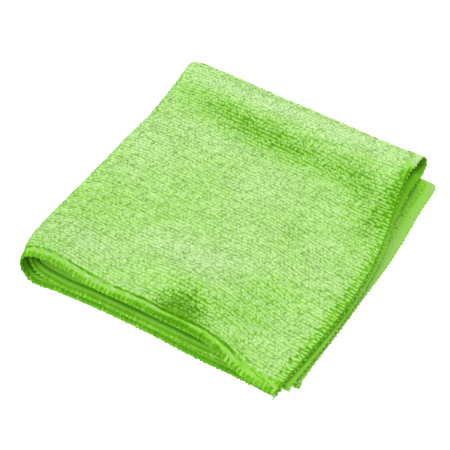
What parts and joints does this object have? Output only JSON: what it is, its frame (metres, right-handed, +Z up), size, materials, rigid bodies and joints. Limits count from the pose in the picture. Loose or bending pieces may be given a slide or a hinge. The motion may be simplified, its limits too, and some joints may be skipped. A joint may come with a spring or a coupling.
{
  "type": "folded microfibre cleaning cloth",
  "caption": "Square lime green microfibre cleaning cloth with overlocked edges, folded in half twice and laid flat, its hems showing at the front and right.",
  "frame": {"origin": "centre of the folded cloth's bounding box on the flat underside", "axes": "+X along the front hems to the open right edges, +Y to the back fold, +Z up"},
  "size_m": [0.1895, 0.1871, 0.0199],
  "materials": {
    "microfibre": "soft looped microfibre pile, matt"
  },
  "bodies": {
    "root": {"cloth": "microfibre"}
  },
  "joints": []
}
